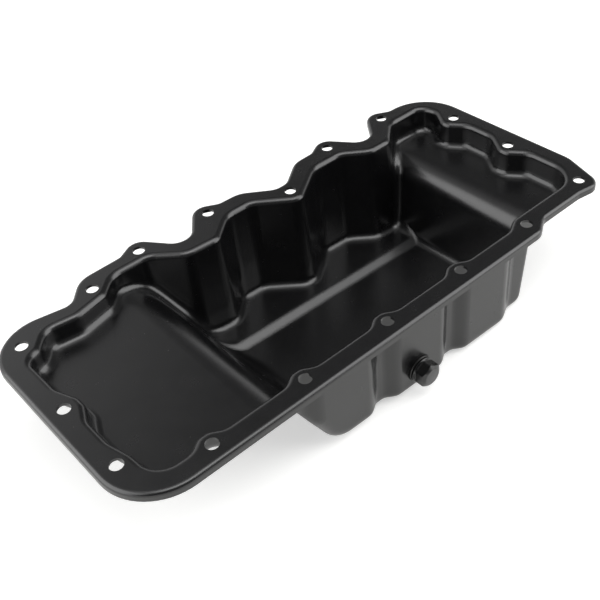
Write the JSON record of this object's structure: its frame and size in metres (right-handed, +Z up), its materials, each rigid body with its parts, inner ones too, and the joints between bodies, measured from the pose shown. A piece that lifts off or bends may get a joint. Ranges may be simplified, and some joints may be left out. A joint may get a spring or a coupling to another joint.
{
  "type": "engine oil pan",
  "caption": "Deep-drawn black steel engine oil pan: flat bolting flange with a turned-down lip, shallow end shelves, deep sloped sump and a screw-out drain plug.",
  "frame": {"origin": "centre of the middle hole of the straight front row of bolt holes, on the flange's sealing face", "axes": "+X along the front row towards the deep end of the sump, +Y across the pan to the wavy back edge, +Z up out of the pan towards the engine"},
  "size_m": [0.43, 0.2075, 0.0927],
  "materials": {
    "pan_coat": "satin black dip coat on steel sheet",
    "washer": "black bonded sealing washer",
    "plug": "black phosphated steel, end face worn grey"
  },
  "bodies": {
    "pan": {"pan_body": "pan_coat", "drain_boss": "pan_coat"},
    "washer": {"drain_gasket": "washer"},
    "plug": {"drain_plug": "plug"}
  },
  "joints": [
    {"name": "plug_travel", "type": "slide", "parent": "pan", "child": "washer", "axis": [0, -0.9997, -0.0262], "range_m": [0, 0.02]},
    {"name": "plug_turn", "type": "hinge", "parent": "washer", "child": "plug", "pos_m": [0.0334, 0.00685, -0.0708], "axis": [0, -0.9997, -0.0262], "range_deg": [0, 4896]}
  ],
  "couplings": [
    {"joint": "plug_turn", "follows": "plug_travel", "rad_per_m": 4188.8}
  ]
}
